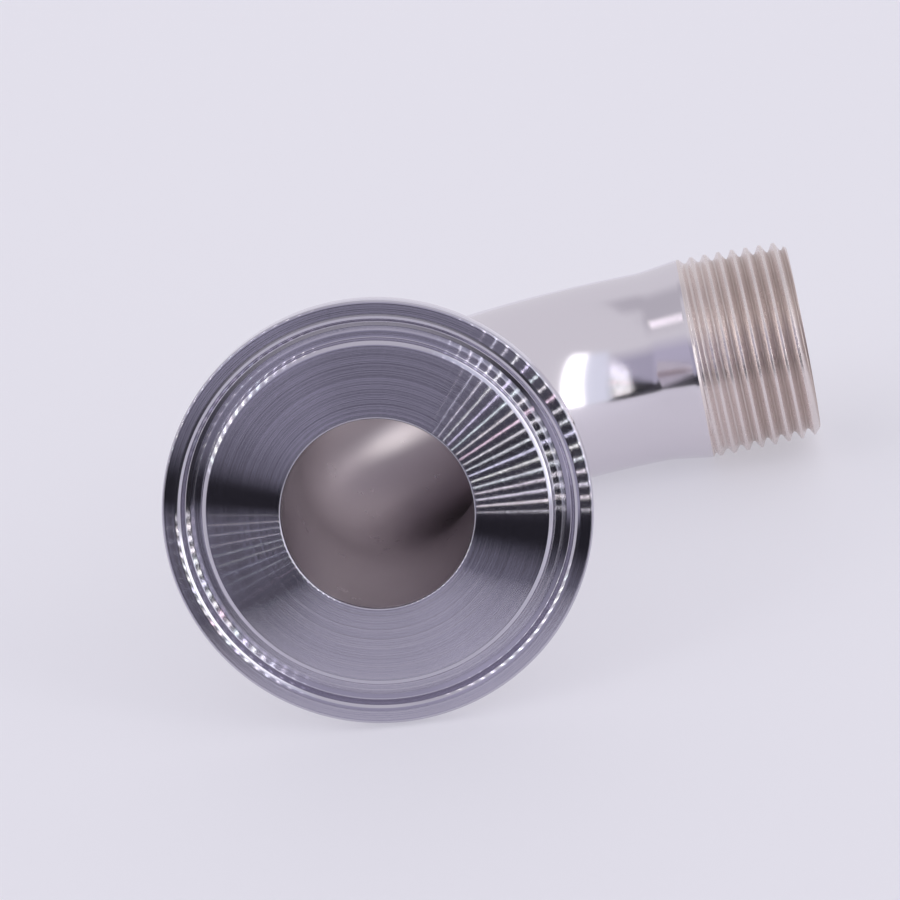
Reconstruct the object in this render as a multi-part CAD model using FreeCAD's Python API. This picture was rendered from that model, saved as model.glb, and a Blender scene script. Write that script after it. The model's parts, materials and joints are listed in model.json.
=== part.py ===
import FreeCAD, Part
import math
import os

# A sanitary threaded elbow in stainless steel, welded and polished into one hollow piece: a clamp ferrule
# with a gasket groove in its turned face, a quarter bend of polished tube, and a male taper thread.
# It is drawn flat first. The ferrule's face lies in the plane Y = 0 and looks along -Y, its axis is the
# Y axis, and the threaded leg points along +X. Then it is laid down as it comes to rest on a table.
# Sizes are in millimetres and angles in degrees.

# Tube and bend
TUBE_DIAMETER = 25.0
TUBE_WALL = 1.2
BEND_RADIUS = 33.5

# Clamp ferrule, from its face back to the start of the bend
FERRULE_DIAMETER = 50.5
FERRULE_LENGTH = 28.6
RIM_THICKNESS = 2.85
RIM_CHAMFER = 0.3
BACK_CONE_ANGLE = 20.0
NECK_FILLET = 4.0
MOUTH_CHAMFER = 0.3

# Gasket groove in the ferrule's face
GROOVE_DIAMETER = 43.5
GROOVE_WIDTH = 2.85
GROOVE_DEPTH = 1.6
GROOVE_FLANK_ANGLE = 12.0
FLOOR_CHAMFER = 0.6

# Threaded end: a polished flare takes the tube up to the blank of a 3/4 inch taper thread
FLARE_LENGTH = 6.0
THREAD_LENGTH = 14.5
THREAD_BLANK_DIAMETER = 26.44
THREAD_END_DIAMETER = 25.85
THREAD_TAPER = 1 / 16
END_CHAMFER = 0.9

# The threaded end has a thicker wall, so its bore is smaller, with a cone where the two bores meet
THREADED_BORE = 20.9
BORE_CONE_ANGLE = 30.0
END_BORE_CHAMFER = 0.4

tube_radius = TUBE_DIAMETER / 2
bore_radius = tube_radius - TUBE_WALL
corner_depth = FERRULE_LENGTH + BEND_RADIUS
thread_start = BEND_RADIUS + FLARE_LENGTH
leg_end = thread_start + THREAD_LENGTH


def slope(angle):
    """Rise per unit length of a line at this angle."""
    return math.tan(math.radians(angle))


def rounded_profile(corners):
    """Closed face in the XY plane from corners (x, y, radius); each corner with a radius is rounded."""
    points = [FreeCAD.Vector(x, y, 0) for x, y, radius in corners]
    edges = []
    pen = None
    first = None
    for index, (x, y, radius) in enumerate(corners):
        here = points[index]
        back = (points[index - 1] - here).normalize()
        onward = (points[(index + 1) % len(points)] - here).normalize()
        start = here
        end = here
        if radius:
            half_angle = back.getAngle(onward) / 2
            reach = radius / math.tan(half_angle)
            start = here + back * reach
            end = here + onward * reach
        if pen:
            edges.append(Part.LineSegment(pen, start).toShape())
        else:
            first = start
        if radius:
            centre = here + (back + onward).normalize() * (radius / math.sin(half_angle))
            middle = centre + (here - centre).normalize() * radius
            edges.append(Part.Arc(start, middle, end).toShape())
        pen = end
    edges.append(Part.LineSegment(pen, first).toShape())
    return Part.Face(Part.Wire(edges))


def ferrule():
    """Clamp ferrule and its plain neck, turned about the Y axis."""
    rim_radius = FERRULE_DIAMETER / 2
    groove_radius = GROOVE_DIAMETER / 2
    half_width = GROOVE_WIDTH / 2
    wall_depth = GROOVE_DEPTH - FLOOR_CHAMFER
    half_wall = half_width - wall_depth * slope(GROOVE_FLANK_ANGLE)
    half_floor = half_wall - FLOOR_CHAMFER
    cone_end = RIM_THICKNESS + (rim_radius - tube_radius) * slope(BACK_CONE_ANGLE)
    section = rounded_profile([
        (bore_radius, MOUTH_CHAMFER, 0),
        (bore_radius + MOUTH_CHAMFER, 0, 0),
        (groove_radius - half_width, 0, 0),
        (groove_radius - half_wall, wall_depth, 0),
        (groove_radius - half_floor, GROOVE_DEPTH, 0),
        (groove_radius + half_floor, GROOVE_DEPTH, 0),
        (groove_radius + half_wall, wall_depth, 0),
        (groove_radius + half_width, 0, 0),
        (rim_radius - RIM_CHAMFER, 0, 0),
        (rim_radius, RIM_CHAMFER, 0),
        (rim_radius, RIM_THICKNESS, 0),
        (tube_radius, cone_end, NECK_FILLET),
        (tube_radius, FERRULE_LENGTH, 0),
        (bore_radius, FERRULE_LENGTH, 0),
    ])
    return section.revolve(FreeCAD.Vector(), FreeCAD.Vector(0, 1, 0), 360)


def bend():
    """Quarter turn of tube, swept about the bend's centre."""
    start = FreeCAD.Vector(0, FERRULE_LENGTH, 0)
    along = FreeCAD.Vector(0, 1, 0)
    outer = Part.Wire(Part.makeCircle(tube_radius, start, along))
    inner = Part.Wire(Part.makeCircle(bore_radius, start, along))
    ring = Part.Face([outer, inner])
    bend_centre = FreeCAD.Vector(BEND_RADIUS, FERRULE_LENGTH, 0)
    return ring.revolve(bend_centre, FreeCAD.Vector(0, 0, -1), 90)


def threaded_leg():
    """Straight leg with the thread's blank, turned about the leg's own axis."""
    blank_radius = THREAD_BLANK_DIAMETER / 2
    end_radius = THREAD_END_DIAMETER / 2
    threaded_bore_radius = THREADED_BORE / 2
    taper_length = (THREAD_BLANK_DIAMETER - THREAD_END_DIAMETER) / THREAD_TAPER
    cone_length = abs(bore_radius - threaded_bore_radius) / slope(BORE_CONE_ANGLE)
    chamfer_radius = end_radius + END_CHAMFER * THREAD_TAPER / 2
    section = rounded_profile([
        (BEND_RADIUS, bore_radius, 0),
        (BEND_RADIUS, tube_radius, 0),
        (thread_start, blank_radius, 0),
        (leg_end - taper_length, blank_radius, 0),
        (leg_end - END_CHAMFER, chamfer_radius, 0),
        (leg_end, end_radius - END_CHAMFER, 0),
        (leg_end, threaded_bore_radius + END_BORE_CHAMFER, 0),
        (leg_end - END_BORE_CHAMFER, threaded_bore_radius, 0),
        (thread_start, threaded_bore_radius, 0),
        (thread_start - cone_length, bore_radius, 0),
    ])
    leg = section.revolve(FreeCAD.Vector(), FreeCAD.Vector(1, 0, 0), 360)
    leg.translate(FreeCAD.Vector(0, corner_depth, 0))
    return leg


def lowest_between(low, high, height):
    """Where height, a function with one dip, is lowest."""
    while high - low > 1e-7:
        third = (high - low) / 3
        if height(low + third) < height(high - third):
            high -= third
        else:
            low += third
    return (low + high) / 2


def up_when_tipped(heading, tip):
    """Up, seen from the flat elbow, when the side at this heading round the bend tips down by this much."""
    outwards = FreeCAD.Vector(-math.cos(heading), math.sin(heading), 0)
    return FreeCAD.Vector(0, 0, math.cos(tip)) - outwards * math.sin(tip)


def ring_bottom(up, centre, axis, radius):
    """Height of a ring's lowest point."""
    return up.dot(centre) - radius * math.sqrt(1 - up.dot(axis) ** 2)


def up_at_rest(mass_centre):
    """Up, seen from the flat elbow, where its centre of mass is lowest over what touches the table."""
    along_ferrule = FreeCAD.Vector(0, 1, 0)
    along_leg = FreeCAD.Vector(1, 0, 0)
    rim_back = FreeCAD.Vector(0, RIM_THICKNESS, 0)
    blank_start = FreeCAD.Vector(thread_start, corner_depth, 0)

    def height(heading, tip):
        up = up_when_tipped(heading, tip)
        along_bend = FreeCAD.Vector(math.sin(heading), math.cos(heading), 0)
        on_bend = FreeCAD.Vector(BEND_RADIUS * (1 - math.cos(heading)), 0, 0)
        on_bend.y = FERRULE_LENGTH + BEND_RADIUS * math.sin(heading)
        rim = ring_bottom(up, rim_back, along_ferrule, FERRULE_DIAMETER / 2)
        tube = ring_bottom(up, on_bend, along_bend, tube_radius)
        thread = ring_bottom(up, blank_start, along_leg, THREAD_BLANK_DIAMETER / 2)
        return up.dot(mass_centre) - min(rim, tube, thread)

    def best_tip(heading):
        return lowest_between(0, math.pi / 3, lambda tip: height(heading, tip))

    heading = lowest_between(0, math.pi / 2, lambda angle: height(angle, best_tip(angle)))
    return up_when_tipped(heading, best_tip(heading))


def laid_down(flat):
    """The elbow at rest on the plane Z = 0, its face to the front, over the middle of its footprint."""
    up = up_at_rest(flat.CenterOfMass)
    backwards = (FreeCAD.Vector(0, 1, 0) - up * up.y).normalize()
    turn = FreeCAD.Rotation(backwards.cross(up), backwards, up, "ZYX").inverted()
    resting = flat.transformed(FreeCAD.Placement(FreeCAD.Vector(), turn).toMatrix())
    box = resting.optimalBoundingBox(False)
    return resting.translated(FreeCAD.Vector(-box.Center.x, -box.Center.y, -box.ZMin))


os.makedirs("parts", exist_ok=True)
flat_elbow = ferrule().fuse([bend(), threaded_leg()]).removeSplitter().Solids[0]
elbow = laid_down(flat_elbow)
elbow.exportStep("parts/elbow_body.step")
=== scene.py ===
"""Visual model of a sanitary threaded elbow that lies on a pale table."""
import json
import math

import bmesh
import bpy
from mathutils import Matrix, Quaternion, Vector


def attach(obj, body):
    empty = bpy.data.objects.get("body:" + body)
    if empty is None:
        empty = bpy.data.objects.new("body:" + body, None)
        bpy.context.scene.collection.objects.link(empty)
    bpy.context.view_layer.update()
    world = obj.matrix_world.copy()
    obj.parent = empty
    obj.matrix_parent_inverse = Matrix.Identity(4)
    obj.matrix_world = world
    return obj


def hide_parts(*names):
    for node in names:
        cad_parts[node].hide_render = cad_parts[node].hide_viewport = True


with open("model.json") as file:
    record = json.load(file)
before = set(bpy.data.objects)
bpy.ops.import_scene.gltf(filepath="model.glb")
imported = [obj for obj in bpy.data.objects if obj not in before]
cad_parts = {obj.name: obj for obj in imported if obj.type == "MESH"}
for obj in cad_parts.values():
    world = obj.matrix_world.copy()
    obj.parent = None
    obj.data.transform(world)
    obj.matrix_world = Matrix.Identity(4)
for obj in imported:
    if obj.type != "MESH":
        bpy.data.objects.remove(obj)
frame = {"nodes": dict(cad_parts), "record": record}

bl_info = {
    "name": "Sanitary Threaded Elbow",
    "version": (1, 0, 0),
    "blender": (4, 5, 0),
    "location": "View3D > Sidebar > Elbow",
    "description": "Builds the elbow with its finishes, and the studio around it",
    "category": "Object",
}

# Lengths are in metres, written as millimetres times MM
MM = 0.001
MOUNTS = {mount["name"]: mount for mount in frame["record"]["mounts"]}

# Finishes, in the order of the elbow's material slots
POLISHED, TURNED, BEVELS, SATIN, THREAD, ENDS = range(6)

# Points nearer to each other than this become one
MERGE_DISTANCE = 0.002 * MM

# As good as nothing, for cuts and for points that are meant to be the same
TOLERANCE = 1e-7

# Edges whose faces turn by more than this stay sharp
SHARP_ANGLE = math.radians(38)

# The thread: its taper across the diameter, the slope of its flanks, and its depth where it starts
# as a share of the full depth, which it reaches after this many turns
THREAD_TAPER = 1 / 16
THREAD_FLANK = math.radians(27.5)
THREAD_FIRST_DEPTH = 0.6
THREAD_GROWING_TURNS = 4

# Chamfer at the mouth of the threaded bore, and slope of the cone between the leg's two bores
END_BORE_CHAMFER = 0.4 * MM
BORE_CONE_ANGLE = math.radians(30)

# Where the camera stands, from the middle of the elbow's footprint
CAMERA_PLACE = Vector((19.38, -430.06, 215.40)) * MM

# The studio. A span says where something starts, is full, begins to fade and ends, in degrees:
# of azimuth, from behind the camera to the right; of height, from the horizon up; or of turn, round
# the way in which the flat face mirrors the camera, from the right up and over to the left.
DARK_FRONT = {"azimuth": (-50, -42, 29, 33), "height": (-91, -90, 36, 52)}

# Tone of the dark front at each turn, and its tint
FRONT_TONES = (
    (-180, 0.03), (-60, 0.03), (-35, 0.07), (-20, 0.05), (-10, 0.015), (-2, 0.02), (28, 0.03),
    (56, 0.37), (65, 0.44), (105, 0.44), (123, 0.53), (145, 0.46), (163, 0.28), (172, 0.03))
FRONT_TINT = (1, 0.96, 1.22)

# What stands in the studio, each thing laid over those before it: its light and its spans
SURROUNDINGS = {
    "left wall": ((0.46, 0.44, 0.56), {
        "azimuth": (-50, -42, -24, -19), "turn": (-180, -173, -148, -136)}),
    "floor": ((0.5, 0.485, 0.53), {"height": (-91, -90, -22, -17)}),
    "screen": ((0.84, 0.87, 1.0), {"azimuth": (27, 30, 47, 49), "height": (-6, -2, 48, 56)}),
    "window": ((2.4, 2.4, 2.45), {"azimuth": (47, 50, 64, 67), "height": (-6, -2, 48, 56)}),
    "side lamp": ((1.75, 1.7, 1.7), {"azimuth": (80, 86, 112, 122), "height": (-14, -8, 12, 20)}),
    "overhead gap": ((0.55, 0.535, 0.59), {
        "azimuth": (-181, -180, -60, -10), "height": (50, 64, 74, 88)}),
}

# The two light panels, whose strips the turned face draws out into streaks: how sharp the strips'
# edges are, how quickly their tint changes from degree to degree, and how strong it is
RIGHT_PANEL = {"azimuth": (12, 15, 26, 29), "turn": (-2, 2, 56, 72)}
LEFT_PANEL = {"azimuth": (-70, -60, -52, -42), "turn": (110, 120, 164, 175)}
STRIP_SHARPNESS = 9.0
TINT_CHANGE = 0.4
TINT_STRENGTH = 0.18


def mount_radius(name):
    """A mount's radius in metres."""
    return MOUNTS[name]["dims"]["r_mm"] * MM


def mount_length(name):
    """The length of a mount's wall in metres."""
    return MOUNTS[name]["dims"]["length_mm"] * MM


class ElbowSizes(bpy.types.PropertyGroup):
    """Sizes of the elbow."""

    rim_radius: bpy.props.FloatProperty(
        name="Rim radius", description="Outside radius of the clamp ferrule",
        default=mount_radius("ferrule_rim"), unit="LENGTH", precision=5)
    rim_thickness: bpy.props.FloatProperty(
        name="Rim thickness", description="Depth of the ferrule's rim behind its face",
        default=2.85 * MM, unit="LENGTH", precision=5)
    edge_rounding: bpy.props.FloatProperty(
        name="Edge rounding", description="Radius of the rim's broken edges",
        default=0.32 * MM, unit="LENGTH", precision=5)
    cone_angle: bpy.props.FloatProperty(
        name="Back cone", description="Slope of the cone behind the rim, where a clamp bears",
        default=math.radians(20), subtype="ANGLE")
    neck_fillet: bpy.props.FloatProperty(
        name="Neck fillet", description="Radius between the cone and the tube",
        default=4 * MM, unit="LENGTH", precision=5)
    groove_radius: bpy.props.FloatProperty(
        name="Groove radius", description="Radius of the gasket groove's centre line",
        default=21.75 * MM, unit="LENGTH", precision=5)
    groove_width: bpy.props.FloatProperty(
        name="Groove width", description="Width of the gasket groove at the face",
        default=2.85 * MM, unit="LENGTH", precision=5)
    groove_depth: bpy.props.FloatProperty(
        name="Groove depth", description="Depth of the gasket groove",
        default=1.6 * MM, unit="LENGTH", precision=5)
    tube_radius: bpy.props.FloatProperty(
        name="Tube radius", description="Outside radius of the polished tube",
        default=12.5 * MM, unit="LENGTH", precision=5)
    bend_radius: bpy.props.FloatProperty(
        name="Bend radius", description="Radius of the tube's centre line round the bend",
        default=33.5 * MM, unit="LENGTH", precision=5)
    flare_length: bpy.props.FloatProperty(
        name="Flare length", description="Length of the polished flare before the thread",
        default=6 * MM, unit="LENGTH", precision=5)
    thread_pitch: bpy.props.FloatProperty(
        name="Thread pitch", description="Distance from one crest to the next, 14 turns per inch",
        default=1.814 * MM, unit="LENGTH", precision=6)
    thread_depth: bpy.props.FloatProperty(
        name="Thread depth", description="Depth of the thread's full turns",
        default=1.1 * MM, unit="LENGTH", precision=5)
    end_chamfer: bpy.props.FloatProperty(
        name="End chamfer", description="Chamfer at the end of the thread",
        default=0.9 * MM, unit="LENGTH", precision=5)
    segments: bpy.props.IntProperty(
        name="Segments", description="Facets round the tube", default=192, min=48, max=256)


class ElbowFinish(bpy.types.PropertyGroup):
    """Colours of the steel, and the painted shade in the thread's roots."""

    polished: bpy.props.FloatVectorProperty(
        name="Polished steel", description="Colour of the mirror polished tube",
        subtype="COLOR", size=3, min=0, max=1, default=(0.76, 0.725, 0.765))
    turned: bpy.props.FloatVectorProperty(
        name="Turned steel", description="Colour of the turned face",
        subtype="COLOR", size=3, min=0, max=1, default=(0.585, 0.565, 0.635))
    satin: bpy.props.FloatVectorProperty(
        name="Satin steel", description="Colour of the bore",
        subtype="COLOR", size=3, min=0, max=1, default=(0.56, 0.515, 0.54))
    thread: bpy.props.FloatVectorProperty(
        name="Cut thread", description="Colour of the thread's crests",
        subtype="COLOR", size=3, min=0, max=1, default=(0.79, 0.715, 0.69))
    # Painted shade: the darker, browner colour that the thread's roots get
    thread_root_shade: bpy.props.FloatVectorProperty(
        name="Thread root shade", description="Colour between the thread's turns",
        subtype="COLOR", size=3, min=0, max=1, default=(0.52, 0.44, 0.40))


class StudioLook(bpy.types.PropertyGroup):
    """The table, the light round it and the camera."""

    table: bpy.props.FloatVectorProperty(
        name="Table", description="Colour of the table",
        subtype="COLOR", size=3, min=0, max=1, default=(0.466, 0.458, 0.487))
    table_front: bpy.props.FloatProperty(
        name="Table front",
        description="Distance from the elbow's middle to the table's front edge",
        default=102 * MM, unit="LENGTH")
    table_light: bpy.props.FloatVectorProperty(
        name="Table light", description="Colour of the light that comes through the table",
        subtype="COLOR", size=3, min=0, max=1, default=(0.745, 0.735, 0.80))
    table_glow: bpy.props.FloatProperty(
        name="Table glow", description="Strength of the light that comes through the table",
        default=0.5, min=0)
    screens: bpy.props.FloatVectorProperty(
        name="Screens", description="Light of the pale screens round the table",
        subtype="COLOR", size=3, min=0, default=(0.75, 0.735, 0.79))
    panel_strength: bpy.props.FloatProperty(
        name="Panel strength", description="Brightness of the light panels' strips",
        default=8.2, min=0)
    strip_spacing: bpy.props.FloatProperty(
        name="Strip spacing", description="Angle from one strip of a light panel to the next",
        subtype="ANGLE", default=math.radians(3.75))
    azimuth: bpy.props.FloatProperty(
        name="Azimuth", description="Heading in which the camera looks", subtype="ANGLE",
        default=math.radians(-3.57))
    elevation: bpy.props.FloatProperty(
        name="Elevation", description="Height of the camera over the table as an angle",
        subtype="ANGLE", default=math.radians(24.77))
    roll: bpy.props.FloatProperty(
        name="Roll", description="Turn of the camera about its line of sight",
        subtype="ANGLE", default=math.radians(-7.91))
    focal_length: bpy.props.FloatProperty(
        name="Focal length", description="Focal length of the lens in millimetres",
        default=151.04, unit="CAMERA")


def settings(name):
    """One of this file's groups of settings."""
    return getattr(bpy.context.scene, name)


def resting_place():
    """Matrix from the flat elbow to the elbow at rest.

    The flat elbow has the middle of its face at zero, its ferrule along Y and its leg along X.
    """
    leg = Vector(MOUNTS["threaded_bore"]["axis"]).normalized()
    inwards = -Vector(MOUNTS["ferrule_bore"]["axis"]).normalized()
    normal = leg.cross(inwards)
    bore_middle = Vector(MOUNTS["ferrule_bore"]["pos_m"])
    face = Vector(MOUNTS["ferrule_face"]["pos_m"])
    centre = bore_middle + inwards * (face - bore_middle).dot(inwards)
    return Matrix.Translation(centre) @ Matrix((leg, inwards, normal)).transposed().to_4x4()


def flat_leg_middle():
    """Middle of the threaded bore on the flat elbow."""
    return resting_place().inverted() @ Vector(MOUNTS["threaded_bore"]["pos_m"])


def corner_depth():
    """Distance from the ferrule's face to the leg's axis."""
    return flat_leg_middle().y


def leg_ends(sizes):
    """Where the thread starts and ends along the leg."""
    start = sizes.bend_radius + sizes.flare_length
    bore_end = flat_leg_middle().x + mount_length("threaded_bore") / 2
    return start, bore_end + END_BORE_CHAMFER


def round_corner(bm, vert, radius, segments):
    """Rounds the corner of a line with an arc of this radius."""
    one, other = (edge.other_vert(vert).co - vert.co for edge in vert.link_edges)
    reach = radius / math.tan(one.angle(other) / 2)
    bmesh.ops.bevel(bm, geom=[vert], offset=reach, offset_type="OFFSET", segments=segments,
                    profile=0.5, affect="VERTICES", material=-1, clamp_overlap=False)


def hold_ends(bm, edge, distance):
    """Adds a point near both ends of a straight run, so that shading beside a rounding is flat."""
    rest, near = bmesh.utils.edge_split(edge, edge.verts[0], distance / edge.calc_length())
    longer = max((edge, rest), key=lambda run: run.calc_length())
    bmesh.utils.edge_split(longer, longer.other_vert(near), distance / longer.calc_length())


def turned_line(corners, segments=5, hold=0.06 * MM):
    """A line through corners (x, y, rounding) with its corners rounded, ready to be spun."""
    bm = bmesh.new()
    verts = [bm.verts.new((x, y, 0)) for x, y, rounding in corners]
    for pair in zip(verts, verts[1:]):
        bm.edges.new(pair)
    for vert, (x, y, rounding) in zip(verts, corners):
        if rounding:
            round_corner(bm, vert, rounding, segments)
    if hold:
        # The short pieces of the arcs stay as they are
        for run in [edge for edge in bm.edges if edge.calc_length() > 8 * hold]:
            hold_ends(bm, run, hold)
    return bm


def add_part(bm, part):
    """Adds one mesh to another."""
    mesh = bpy.data.meshes.new("part")
    part.to_mesh(mesh)
    part.free()
    bm.from_mesh(mesh)
    bpy.data.meshes.remove(mesh)


def spin_line(bm, line, centre, axis, angle, steps, finish):
    """Spins a line into a wall with one finish."""
    full = abs(angle) > math.radians(359)
    bmesh.ops.spin(line, geom=line.verts[:] + line.edges[:], cent=centre, axis=axis, angle=angle,
                   steps=steps, use_merge=full, use_duplicate=False)
    for face in line.faces:
        face.material_index = finish
    add_part(bm, line)


def build_ferrule(bm, sizes):
    """The clamp ferrule with its grooved face, and the neck behind it."""
    bore = mount_radius("ferrule_bore")
    rim = sizes.rim_radius
    tube = sizes.tube_radius
    groove = sizes.groove_radius
    neck_end = corner_depth() - sizes.bend_radius
    inner_edge = groove - sizes.groove_width / 2
    outer_edge = groove + sizes.groove_width / 2
    inner_floor = sizes.groove_depth - 0.2 * MM
    cone_slope = math.tan(sizes.cone_angle)
    cone_end = sizes.rim_thickness + (rim - tube) * cone_slope
    # Where one wall hands over to the next, as (radius, depth behind the face, rounding)
    mouth = (bore, 0.6 * MM, 0)
    inner_land = (inner_edge - 0.35 * MM, 0, 0)
    inner_foot = (inner_edge + 0.33 * MM, inner_floor - 0.5 * MM, 0)
    deepest = (groove + 0.3 * MM, sizes.groove_depth, 0)
    outer_land = (outer_edge + 0.55 * MM, 0, 0)
    rim_middle = (rim, 1.4 * MM, 0)
    on_cone = (rim - 3 * MM, sizes.rim_thickness + 3 * MM * cone_slope, 0)
    walls = [
        # The neck's bore
        (SATIN, 5, [(bore, neck_end, 0), mouth]),
        # The broken edge of the mouth, and the face up to the groove
        (TURNED, 5, [mouth, (bore, 0, 0.28 * MM), inner_land]),
        # The groove's bevelled inner edge and its inner side
        (BEVELS, 5, [
            inner_land,
            (inner_edge - 0.28 * MM, 0, 0.15 * MM),
            (inner_edge + 0.24 * MM, 0.24 * MM, 0.25 * MM),
            inner_foot]),
        # The groove's floor, which dips outwards
        (TURNED, 4, [
            inner_foot,
            (inner_edge + 0.35 * MM, inner_floor, 0.12 * MM),
            (groove - 0.2 * MM, inner_floor + 0.04 * MM, 0.3 * MM),
            deepest]),
        # The groove's outer side with its shallow foot, and the bevel in two steps at its edge
        (BEVELS, 5, [
            deepest,
            (groove + 0.95 * MM, sizes.groove_depth - 0.165 * MM, 0.25 * MM),
            (outer_edge - 0.15 * MM, 0.29 * MM, 0.3 * MM),
            (outer_edge + 0.2 * MM, 0.08 * MM, 0.3 * MM),
            (outer_edge + 0.5 * MM, 0, 0.2 * MM),
            outer_land]),
        # The face outside the groove, and the rim's broken edge
        (TURNED, 5, [outer_land, (rim, 0, sizes.edge_rounding), rim_middle]),
        # The rim's back edge
        (POLISHED, 6, [rim_middle, (rim, sizes.rim_thickness, 0.3 * MM), on_cone]),
        # The back cone, the fillet and the neck
        (POLISHED, 18, [on_cone, (tube, cone_end, sizes.neck_fillet), (tube, neck_end, 0)]),
    ]
    for finish, segments, corners in walls:
        spin_line(bm, turned_line(corners, segments), (0, 0, 0), (0, 1, 0), math.tau,
                  sizes.segments, finish)


def build_bend(bm, sizes):
    """The quarter bend, outside and inside."""
    neck_end = corner_depth() - sizes.bend_radius
    centre = (sizes.bend_radius, neck_end, 0)
    facets_along = 56
    lie_flat = Matrix.Translation((0, neck_end, 0)) @ Matrix.Rotation(math.radians(90), 4, "X")
    for finish, radius in ((POLISHED, sizes.tube_radius), (SATIN, mount_radius("ferrule_bore"))):
        ring = bmesh.new()
        bmesh.ops.create_circle(ring, cap_ends=False, radius=radius, segments=sizes.segments,
                                matrix=lie_flat)
        spin_line(bm, ring, centre, (0, 0, -1), math.radians(90), facets_along, finish)


def build_leg(bm, sizes):
    """The flare up to the thread, and the leg's bore with its step."""
    depth = corner_depth()
    start, end = leg_ends(sizes)
    tube = sizes.tube_radius
    bore = mount_radius("ferrule_bore")
    small_bore = mount_radius("threaded_bore")
    shoulder = mount_radius("male_thread") - 0.03 * MM
    cone = (bore - small_bore) / math.tan(BORE_CONE_ANGLE)
    bore_end = (end - END_BORE_CHAMFER, small_bore, 0)
    # Corners are (place along the leg, radius, rounding)
    walls = [
        # The flare, which leaves the tube in a wide curve and turns into a short shoulder
        (POLISHED, 10, [
            (sizes.bend_radius, tube, 0),
            (sizes.bend_radius + 0.7 * MM, tube, 8 * MM),
            (start - 0.4 * MM, shoulder, 1.2 * MM),
            (start, shoulder, 0)]),
        # The leg's bore, its step and the threaded end's bore
        (SATIN, 5, [
            (sizes.bend_radius, bore, 0),
            (start - cone, bore, 0),
            (start, small_bore, 0),
            bore_end]),
        (ENDS, 5, [bore_end, (end, small_bore + END_BORE_CHAMFER, 0)]),
    ]
    for finish, segments, corners in walls:
        corners = [(x, depth - radius, rounding) for x, radius, rounding in corners]
        spin_line(bm, turned_line(corners, segments), (0, depth, 0), (1, 0, 0), math.tau,
                  sizes.segments, finish)


def smoothstep(low, high, value):
    """Rises smoothly from 0 at low to 1 at high."""
    share = min(max((value - low) / (high - low), 0), 1)
    return share * share * (3 - 2 * share)


def thread_radius(sizes, start, end, along, cut):
    """Radius of the thread here along the leg, for a cut from 0 at a crest to 1 at a root."""
    blank = mount_radius("male_thread")
    parallel = mount_length("male_thread")
    crest = blank - max(along - start - parallel, 0) * THREAD_TAPER / 2
    growing = smoothstep(0, THREAD_GROWING_TURNS * sizes.thread_pitch, along - start)
    grown = THREAD_FIRST_DEPTH + (1 - THREAD_FIRST_DEPTH) * growing
    # Nothing is cut where the thread meets the flare
    from_flare = smoothstep(0.05 * MM, 0.5 * MM, along - start)
    radius = crest - cut * sizes.thread_depth * grown * from_flare
    into_chamfer = along - end + sizes.end_chamfer
    chamfer = blank - (end - start - parallel) * THREAD_TAPER / 2 - into_chamfer
    # The factor takes in the points that lie on the chamfer's first ring
    return min(radius, chamfer) if along > end - sizes.end_chamfer * 1.001 else radius


def cut_across(bm, along, **clear):
    """Cuts a mesh across the leg at this place along it."""
    everything = bm.verts[:] + bm.edges[:] + bm.faces[:]
    bmesh.ops.bisect_plane(bm, geom=everything, dist=TOLERANCE, plane_co=(along, 0, 0),
                           plane_no=(1, 0, 0), **clear)


def build_thread(bm, sizes):
    """The taper thread: a groove's outline run along a screw, cut to length and tapered."""
    depth = corner_depth()
    start, end = leg_ends(sizes)
    pitch = sizes.thread_pitch
    base = mount_radius("male_thread")
    half_crest = 0.17 * MM
    crest_rounding = 0.06 * MM
    root_rounding = 0.25 * MM
    apex = (pitch / 2 - half_crest) / math.tan(THREAD_FLANK)
    turns = math.ceil((end - start) / pitch) + 2
    # How far before the thread's start the first turn begins, which sets where the crests lie
    first = start - pitch * 1.63
    corners = [(x, depth - base + cut, rounding) for x, cut, rounding in (
        (first, 0, 0),
        (first + half_crest, 0, crest_rounding),
        (first + pitch / 2, apex, root_rounding),
        (first + pitch - half_crest, 0, crest_rounding),
        (first + pitch, 0, 0))]
    thread = turned_line(corners, 4, hold=0)
    for flank in [edge for edge in thread.edges if edge.calc_length() > 0.6 * MM]:
        bmesh.ops.subdivide_edges(thread, edges=[flank], cuts=2)
    deepest = max(vert.co.y for vert in thread.verts) - (depth - base)
    bmesh.ops.spin(thread, geom=thread.verts[:] + thread.edges[:], cent=(0, depth, 0),
                   axis=(1, 0, 0), dvec=(pitch / sizes.segments, 0, 0), angle=math.tau,
                   steps=sizes.segments, use_merge=False, use_duplicate=False)
    turn = thread.verts[:] + thread.edges[:] + thread.faces[:]
    for index in range(1, turns):
        copy = bmesh.ops.duplicate(thread, geom=turn)["geom"]
        moved = [item for item in copy if isinstance(item, bmesh.types.BMVert)]
        bmesh.ops.translate(thread, vec=(pitch * index, 0, 0), verts=moved)
    bmesh.ops.remove_doubles(thread, verts=thread.verts[:], dist=MERGE_DISTANCE)
    cut_across(thread, start, clear_inner=True)
    cut_across(thread, end, clear_outer=True)
    cut_across(thread, end - sizes.end_chamfer)
    for vert in thread.verts:
        out = Vector((vert.co.y - depth, vert.co.z))
        cut = (base - out.length) / deepest
        out *= thread_radius(sizes, start, end, vert.co.x, cut) / out.length
        vert.co.y = depth + out.x
        vert.co.z = out.y
    for face in thread.faces:
        face.material_index = THREAD
    add_part(bm, thread)


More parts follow.
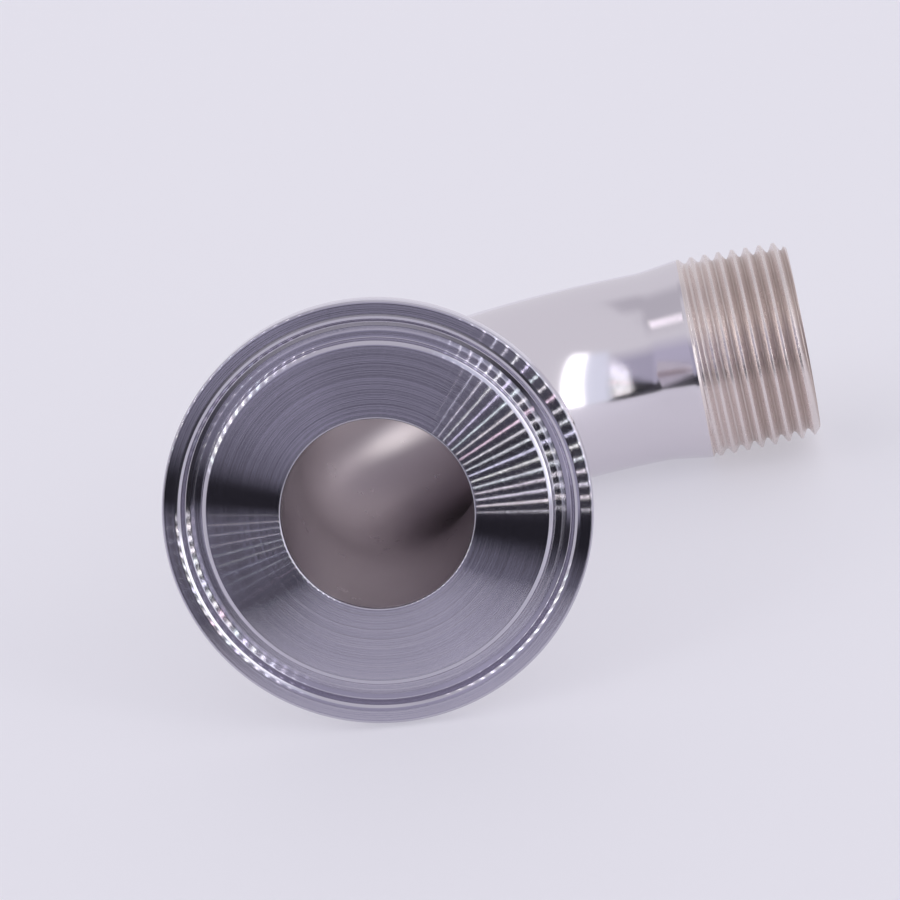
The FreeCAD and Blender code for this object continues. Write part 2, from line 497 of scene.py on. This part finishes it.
def fill_flat_ring(bm, along, depth, finish):
    """Fills the flat ring between the open edges round the leg here along it, in millimetres."""
    near = 0.05
    edges = [edge for edge in bm.edges
             if edge.is_boundary and all(abs(vert.co.x - along) < near for vert in edge.verts)]
    radii = [math.hypot(edge.verts[0].co.y - depth, edge.verts[0].co.z) for edge in edges]
    filled = bmesh.ops.triangle_fill(bm, use_beauty=False, use_dissolve=False, edges=edges,
                                     normal=(1, 0, 0))
    for face in [item for item in filled["geom"] if isinstance(item, bmesh.types.BMFace)]:
        face.material_index = finish
        middle = face.calc_center_median()
        if math.hypot(middle.y - depth, middle.z) < min(radii) * 0.99:
            raise RuntimeError("The fill has covered the bore")


def close_rings(bm, sizes):
    """Closes the elbow where the flare meets the thread, and over the end face."""
    start, end = leg_ends(sizes)
    # The fill works to a fixed tolerance, so for it the mesh is enlarged to millimetres
    bmesh.ops.scale(bm, vec=(1 / MM, 1 / MM, 1 / MM), verts=bm.verts[:])
    fill_flat_ring(bm, start / MM, corner_depth() / MM, POLISHED)
    fill_flat_ring(bm, end / MM, corner_depth() / MM, ENDS)
    bmesh.ops.scale(bm, vec=(MM, MM, MM), verts=bm.verts[:])


def solid_volume():
    """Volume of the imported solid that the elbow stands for."""
    bm = bmesh.new()
    bm.from_mesh(frame["nodes"]["elbow_body"].data)
    bmesh.ops.remove_doubles(bm, verts=bm.verts[:], dist=TOLERANCE)
    volume = bm.calc_volume(signed=True)
    bm.free()
    return volume


def check_closed(bm):
    """Stops unless the mesh is closed, faces outwards and holds about the solid's steel."""
    open_edges = sum(not edge.is_manifold for edge in bm.edges)
    share = bm.calc_volume(signed=True) / solid_volume()
    # The thread's turns are cut from the solid's blank, so a few hundredths may be missing
    least, most = 0.93, 1.02
    if open_edges or not least < share < most:
        raise RuntimeError(
            f"The elbow has {open_edges} open edges and {share:.3f} of the solid's volume")


def new_socket(group, name, kind, output=False, default=None):
    """A socket on a node group."""
    socket = group.interface.new_socket(
        name, in_out="OUTPUT" if output else "INPUT", socket_type=kind)
    if default is not None:
        socket.default_value = default
    return socket


def set_inputs(tree, node, values):
    """Sets a node's inputs, or links them where the value is another node's output."""
    for key, value in values.items():
        if isinstance(value, bpy.types.NodeSocket):
            tree.links.new(value, node.inputs[key])
        else:
            node.inputs[key].default_value = value


def add_node(tree, kind, values=None, **attributes):
    """A node with its settings, and with its inputs set or linked."""
    node = tree.nodes.new(kind)
    for name, value in attributes.items():
        setattr(node, name, value)
    set_inputs(tree, node, values or {})
    return node


def calc(tree, operation, *values):
    """The result of a Math node."""
    node = add_node(tree, "ShaderNodeMath", dict(enumerate(values)), operation=operation)
    return node.outputs[0]


def vector_calc(tree, operation, *values, output=0):
    """The result of a Vector Math node."""
    node = add_node(tree, "ShaderNodeVectorMath", dict(enumerate(values)), operation=operation)
    return node.outputs[output]


def scaled(tree, vector, factor):
    """A vector or colour times a factor."""
    node = add_node(tree, "ShaderNodeVectorMath", {0: vector, "Scale": factor}, operation="SCALE")
    return node.outputs[0]


def spread(tree, value, low, high, start=0.0, full=1.0):
    """A value that runs from start to full, spread to run from low to high."""
    limits = {"From Min": start, "From Max": full, "To Min": low, "To Max": high}
    return add_node(tree, "ShaderNodeMapRange", {"Value": value, **limits}).outputs["Result"]


def blend(tree, mask, under, over):
    """One colour laid over another by a mask."""
    mix = add_node(tree, "ShaderNodeMix", {"Factor": mask, "A": under, "B": over},
                   data_type="RGBA")
    return mix.outputs["Result"]


def line_noise(tree, value, detail):
    """A noise that changes only along this value."""
    return add_node(tree, "ShaderNodeTexNoise", {"W": value, "Scale": 1.0, "Detail": detail},
                    noise_dimensions="1D")


def bump_normal(tree, height, strength, distance):
    """The normal that a height gives to the surface."""
    bump = add_node(tree, "ShaderNodeBump", {
        "Height": height, "Strength": strength, "Distance": distance})
    return bump.outputs["Normal"]


def object_place(tree):
    """The place of each point of the object."""
    return add_node(tree, "ShaderNodeTexCoord").outputs["Object"]


def feed_marks_group():
    """Ring marks left by a lathe tool: the tilt across each ring, and a tone from ring to ring."""
    group = bpy.data.node_groups.new("Feed Marks", "ShaderNodeTree")
    new_socket(group, "Radius", "NodeSocketFloat")
    new_socket(group, "Feed", "NodeSocketFloat", default=0.06 * MM)
    new_socket(group, "Tilt", "NodeSocketFloat", output=True)
    new_socket(group, "Tone", "NodeSocketFloat", output=True)
    inside = add_node(group, "NodeGroupInput")
    rings = calc(group, "DIVIDE", inside.outputs["Radius"], inside.outputs["Feed"])
    # The rings drift a little from their even spacing
    drift = line_noise(group, calc(group, "MULTIPLY", rings, 0.7), detail=2.0).outputs["Fac"]
    turned = calc(group, "MULTIPLY", calc(group, "ADD", rings, drift), math.tau)
    tone = line_noise(group, calc(group, "MULTIPLY", rings, 0.35), detail=3.0).outputs["Fac"]
    add_node(group, "NodeGroupOutput", {"Tilt": calc(group, "SINE", turned), "Tone": tone})
    return group


def handling_group():
    """Faint wiping marks and specks, as a value from 0 to 1."""
    group = bpy.data.node_groups.new("Handling", "ShaderNodeTree")
    new_socket(group, "Vector", "NodeSocketVector")
    new_socket(group, "Scale", "NodeSocketFloat", default=60.0)
    new_socket(group, "Marks", "NodeSocketFloat", output=True)
    inside = add_node(group, "NodeGroupInput")
    clouds = add_node(group, "ShaderNodeTexNoise", {
        "Vector": inside.outputs["Vector"], "Scale": inside.outputs["Scale"],
        "Detail": 5.0, "Roughness": 0.6})
    add_node(group, "NodeGroupOutput", {"Marks": clouds.outputs["Fac"]})
    return group


def place_group(tree, name, build, values):
    """A node group placed in a material. It is built once and shared."""
    group = bpy.data.node_groups.get(name) or build()
    return add_node(tree, "ShaderNodeGroup", values, node_tree=group)


def handling_marks(tree, position, scale):
    """The Handling group's marks at this scale."""
    values = {"Vector": position, "Scale": scale}
    return place_group(tree, "Handling", handling_group, values).outputs["Marks"]


def new_finish(name, metallic=1):
    """A node material with only a Principled shader, and that shader."""
    material = bpy.data.materials.new(name)
    material.use_nodes = True
    shader = material.node_tree.nodes["Principled BSDF"]
    shader.inputs["Metallic"].default_value = metallic
    return material, material.node_tree, shader


def away_from_axis(tree, position, centre, axis):
    """The vector from an axis straight out to each point."""
    offset = vector_calc(tree, "SUBTRACT", position, centre)
    height = vector_calc(tree, "DOT_PRODUCT", offset, axis, output="Value")
    return vector_calc(tree, "SUBTRACT", offset, scaled(tree, axis, height))


def cloudy_finish(name, colour, marks_scale, roughness, wave_strength, wave_height):
    """Steel with soft marks in its gloss and faint waves in its surface."""
    material, tree, shader = new_finish(name)
    position = object_place(tree)
    marks = handling_marks(tree, position, marks_scale)
    waves = add_node(tree, "ShaderNodeTexNoise", {
        "Vector": position, "Scale": 70.0, "Detail": 1.0})
    set_inputs(tree, shader, {
        "Base Color": (*colour, 1),
        "Roughness": spread(tree, marks, *roughness),
        "Normal": bump_normal(tree, waves.outputs["Fac"], wave_strength, wave_height)})
    return material


def polished_finish(finish):
    """Mirror polish with the faint waves and wiping marks of a buffed tube."""
    return cloudy_finish("Polished Steel", finish.polished, marks_scale=90.0,
                         roughness=(0.08, 0.19), wave_strength=0.05, wave_height=1 * MM)


def satin_finish(finish):
    """The bore: steel left satin, with soft cloudy streaks."""
    return cloudy_finish("Satin Bore", finish.satin, marks_scale=220.0,
                         roughness=(0.25, 0.32), wave_strength=0.008, wave_height=0.6 * MM)


def turned_finish(name, colour, tilt_in, tilt_out, roughness):
    """A turned surface: each fine ring tilts a little, which draws lights out into streaks."""
    material, tree, shader = new_finish(name)
    place = resting_place()
    centre = tuple(place.translation)
    axis = tuple(-place.col[1].to_3d())
    away = away_from_axis(tree, object_place(tree), centre, axis)
    radius = vector_calc(tree, "LENGTH", away, output="Value")
    outwards = vector_calc(tree, "NORMALIZE", away)
    marks = place_group(tree, "Feed Marks", feed_marks_group, {"Radius": radius}).outputs
    lean = scaled(tree, outwards, spread(tree, marks["Tilt"], -tilt_in, tilt_out, start=-1.0))
    surface = add_node(tree, "ShaderNodeNewGeometry").outputs["Normal"]
    tone = spread(tree, marks["Tone"], low=0.95, high=1.0, start=0.3, full=0.7)
    set_inputs(tree, shader, {
        "Base Color": scaled(tree, colour, tone),
        "Normal": vector_calc(tree, "NORMALIZE", vector_calc(tree, "ADD", surface, lean)),
        "Tangent": outwards,
        "Roughness": roughness,
        "Anisotropic": 1})
    return material


def thread_finish(finish):
    """The cut thread: bright on its crests, and darker and browner in its roots as painted shade.
    """
    material, tree, shader = new_finish("Cut Thread")
    position = object_place(tree)
    centre = tuple(MOUNTS["threaded_bore"]["pos_m"])
    axis = tuple(MOUNTS["threaded_bore"]["axis"])
    away = away_from_axis(tree, position, centre, axis)
    radius = vector_calc(tree, "LENGTH", away, output="Value")
    along = vector_calc(tree, "DOT_PRODUCT", position, axis, output="Value")
    # The radius without the taper tells a crest from a root
    thread = MOUNTS["male_thread"]
    middle = Vector(thread["pos_m"]).dot(Vector(thread["axis"]))
    from_start = calc(tree, "SUBTRACT", along, middle - mount_length("male_thread") / 2)
    level = calc(tree, "ADD", radius, calc(tree, "DIVIDE", from_start, 2 / THREAD_TAPER))
    crest = spread(tree, level, low=0.0, high=1.0, start=12.1 * MM, full=12.7 * MM)
    lines = place_group(tree, "Feed Marks", feed_marks_group, {
        "Radius": along, "Feed": 0.1 * MM}).outputs["Tone"]
    specks = handling_marks(tree, position, 900.0)
    # More lines from the cutting tool than specks
    marks = calc(tree, "ADD", calc(tree, "MULTIPLY", lines, 0.6),
                 calc(tree, "MULTIPLY", specks, 0.4))
    set_inputs(tree, shader, {
        # Painted shade: the roots take the darker root colour, and the crests take the thread's own
        "Base Color": blend(tree, crest, (*finish.thread_root_shade, 1), (*finish.thread, 1)),
        "Roughness": calc(tree, "ADD", spread(tree, crest, low=0.38, high=0.2),
                          calc(tree, "MULTIPLY", marks, 0.16)),
        "Normal": bump_normal(tree, marks, strength=0.35, distance=0.1 * MM)})
    return material


def table_finish(look):
    """The pale table, which also glows a little like a light table."""
    material, tree, shader = new_finish("Pale Table", metallic=0)
    set_inputs(tree, shader, {
        "Base Color": (*look.table, 1),
        "Emission Color": (*look.table_light, 1),
        "Emission Strength": look.table_glow,
        "Roughness": 0.6,
        "Specular IOR Level": 0.2})
    return material


class ELBOW_OT_body(bpy.types.Operator):
    """Build the elbow with its finishes"""

    bl_idname = "elbow.body"
    bl_label = "Build Elbow"

    def execute(self, context):
        sizes = settings("elbow_sizes")
        finish = settings("elbow_finish")
        bm = bmesh.new()
        build_ferrule(bm, sizes)
        build_bend(bm, sizes)
        build_leg(bm, sizes)
        build_thread(bm, sizes)
        bmesh.ops.remove_doubles(bm, verts=bm.verts[:], dist=MERGE_DISTANCE)
        close_rings(bm, sizes)
        bmesh.ops.recalc_face_normals(bm, faces=bm.faces[:])
        check_closed(bm)
        bmesh.ops.transform(bm, matrix=resting_place(), verts=bm.verts[:])
        for edge in bm.edges:
            edge.smooth = edge.calc_face_angle() < SHARP_ANGLE
        for face in bm.faces:
            face.smooth = True
        mesh = bpy.data.meshes.new("elbow")
        bm.to_mesh(mesh)
        bm.free()
        elbow = bpy.data.objects.new("elbow", mesh)
        context.scene.collection.objects.link(elbow)
        turned = finish.turned
        for material in (
                polished_finish(finish),
                turned_finish("Turned Face", turned, tilt_in=0.18, tilt_out=0.22, roughness=0.055),
                turned_finish("Turned Bevels", turned, tilt_in=0.03, tilt_out=0.03, roughness=0.1),
                satin_finish(finish),
                thread_finish(finish),
                turned_finish("Turned End", turned, tilt_in=0.2, tilt_out=0.2, roughness=0.25)):
            mesh.materials.append(material)
        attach(elbow, "root")
        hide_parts("elbow_body")
        return {"FINISHED"}


def add_table(look):
    """The table that the elbow lies on."""
    half_side = 0.6
    bm = bmesh.new()
    bmesh.ops.create_grid(bm, x_segments=1, y_segments=1, size=half_side)
    bmesh.ops.translate(bm, vec=(0, half_side - look.table_front, 0), verts=bm.verts[:])
    mesh = bpy.data.meshes.new("table")
    bm.to_mesh(mesh)
    bm.free()
    table = bpy.data.objects.new("table", mesh)
    bpy.context.scene.collection.objects.link(table)
    mesh.materials.append(table_finish(look))


def camera_turn(look):
    """The camera's turn, from its heading, height and roll."""
    level = math.cos(look.elevation)
    forward = Vector((math.sin(look.azimuth) * level, math.cos(look.azimuth) * level,
                      -math.sin(look.elevation)))
    return forward.to_track_quat("-Z", "Y") @ Quaternion((0, 0, 1), look.roll)


def mirror_ways(look):
    """The right and up ways round the way in which the flat face mirrors the camera."""
    place = resting_place()
    out = -place.col[1].to_3d()
    view = (CAMERA_PLACE - place.translation).normalized()
    mirrored = (2 * out.dot(view) * out - view).normalized()
    right = camera_turn(look) @ Vector((1, 0, 0))
    right = (right - mirrored * right.dot(mirrored)).normalized()
    return tuple(right), tuple(mirrored.cross(right))


def fade(tree, value, start, full, falling, end):
    """Rises from 0 at start to 1 at full, and drops from falling to 0 at end."""
    rise = spread(tree, value, 0.0, 1.0, start=start, full=full)
    drop = spread(tree, value, 0.0, 1.0, start=end, full=falling)
    return calc(tree, "MULTIPLY", rise, drop)


def within(tree, ways, spans):
    """A mask that is 1 where each of these spans is full."""
    masks = [fade(tree, ways[name], *limits) for name, limits in spans.items()]
    return calc(tree, "MULTIPLY", *masks) if len(masks) == 2 else masks[0]


def front_tones(tree, turn):
    """Colour of the studio's dark front at each turn, from -180 to 180 degrees."""
    share = calc(tree, "ADD", calc(tree, "DIVIDE", turn, 360.0), 0.5)
    ramp = add_node(tree, "ShaderNodeValToRGB", {"Fac": share})
    stops = ramp.color_ramp.elements
    stops.remove(stops[1])
    for index, (degrees, tone) in enumerate(FRONT_TONES):
        stop = stops.new(degrees / 360 + 0.5) if index else stops[0]
        stop.color = (*(tone * part for part in FRONT_TINT), 1)
    return ramp.outputs["Color"]


def panel_strips(tree, turn, look):
    """The strips of the light panels, which point at the face's mirror way, and their light."""
    per_degree = math.tau / math.degrees(look.strip_spacing)
    wave = calc(tree, "COSINE", calc(tree, "MULTIPLY", turn, per_degree))
    strip = calc(tree, "POWER", calc(tree, "MAXIMUM", wave, 0.0), STRIP_SHARPNESS)
    tint = line_noise(tree, calc(tree, "MULTIPLY", turn, TINT_CHANGE), detail=0.0).outputs["Color"]
    soft_tint = blend(tree, TINT_STRENGTH, (0.5, 0.5, 0.5, 1), tint)
    # The tint lies about a half, so twice the strength brings it to the panel's own
    return strip, scaled(tree, soft_tint, 2 * look.panel_strength)


def set_world(look):
    """The studio: pale screens, a dark front where the camera stands, and what is round them."""
    world = bpy.data.worlds.new("studio")
    world.use_nodes = True
    tree = world.node_tree
    way = add_node(tree, "ShaderNodeTexCoord").outputs["Generated"]
    parts = add_node(tree, "ShaderNodeSeparateXYZ", {"Vector": way}).outputs
    right, up = mirror_ways(look)
    angles = {
        "azimuth": ("ARCTAN2", parts["X"], calc(tree, "MULTIPLY", parts["Y"], -1.0)),
        "height": ("ARCSINE", parts["Z"]),
        "turn": ("ARCTAN2", vector_calc(tree, "DOT_PRODUCT", way, up, output="Value"),
                 vector_calc(tree, "DOT_PRODUCT", way, right, output="Value")),
    }
    ways = {name: calc(tree, "DEGREES", calc(tree, *angle)) for name, angle in angles.items()}
    room = blend(tree, within(tree, ways, DARK_FRONT), (*look.screens, 1),
                 front_tones(tree, ways["turn"]))
    for light, spans in SURROUNDINGS.values():
        room = blend(tree, within(tree, ways, spans), room, (*light, 1))
    panels = calc(tree, "MAXIMUM", within(tree, ways, RIGHT_PANEL),
                  within(tree, ways, LEFT_PANEL))
    strip, glow = panel_strips(tree, ways["turn"], look)
    room = blend(tree, calc(tree, "MULTIPLY", strip, panels), room, glow)
    set_inputs(tree, tree.nodes["Background"], {"Color": room})
    bpy.context.scene.world = world


def add_camera(look):
    """The camera at the photograph's viewing angle."""
    data = bpy.data.cameras.new("camera")
    data.sensor_width = 36
    data.lens = look.focal_length
    data.clip_start = 10 * MM
    camera = bpy.data.objects.new("camera", data)
    camera.location = CAMERA_PLACE
    camera.rotation_euler = camera_turn(look).to_euler()
    bpy.context.scene.collection.objects.link(camera)
    bpy.context.scene.camera = camera


class ELBOW_OT_stage(bpy.types.Operator):
    """Set the table, the studio round it and the camera"""

    bl_idname = "elbow.stage"
    bl_label = "Set Stage"

    def execute(self, context):
        look = settings("elbow_studio")
        add_table(look)
        set_world(look)
        add_camera(look)
        context.scene.view_settings.view_transform = "Standard"
        return {"FINISHED"}


class ELBOW_PT_panel(bpy.types.Panel):
    """The elbow's tools and settings"""

    bl_idname = "ELBOW_PT_panel"
    bl_label = "Elbow"
    bl_space_type = "VIEW_3D"
    bl_region_type = "UI"
    bl_category = "Elbow"

    def draw(self, context):
        layout = self.layout
        layout.operator(ELBOW_OT_body.bl_idname)
        layout.operator(ELBOW_OT_stage.bl_idname)
        for name in GROUPS:
            group = settings(name)
            column = layout.column()
            for key in group.bl_rna.properties.keys():
                if key not in ("rna_type", "name"):
                    column.prop(group, key)


GROUPS = {"elbow_sizes": ElbowSizes, "elbow_finish": ElbowFinish, "elbow_studio": StudioLook}
CLASSES = (*GROUPS.values(), ELBOW_OT_body, ELBOW_OT_stage, ELBOW_PT_panel)


def register():
    """Registers the classes, and puts the settings on the scene."""
    for cls in CLASSES:
        bpy.utils.register_class(cls)
    for name, cls in GROUPS.items():
        setattr(bpy.types.Scene, name, bpy.props.PointerProperty(type=cls))


def unregister():
    """Takes the settings off the scene, and unregisters the classes."""
    for name in GROUPS:
        delattr(bpy.types.Scene, name)
    for cls in reversed(CLASSES):
        bpy.utils.unregister_class(cls)


def main():
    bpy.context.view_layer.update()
    register()
    bpy.ops.elbow.stage()
    bpy.ops.elbow.body()


if __name__ == "__main__":
    main()
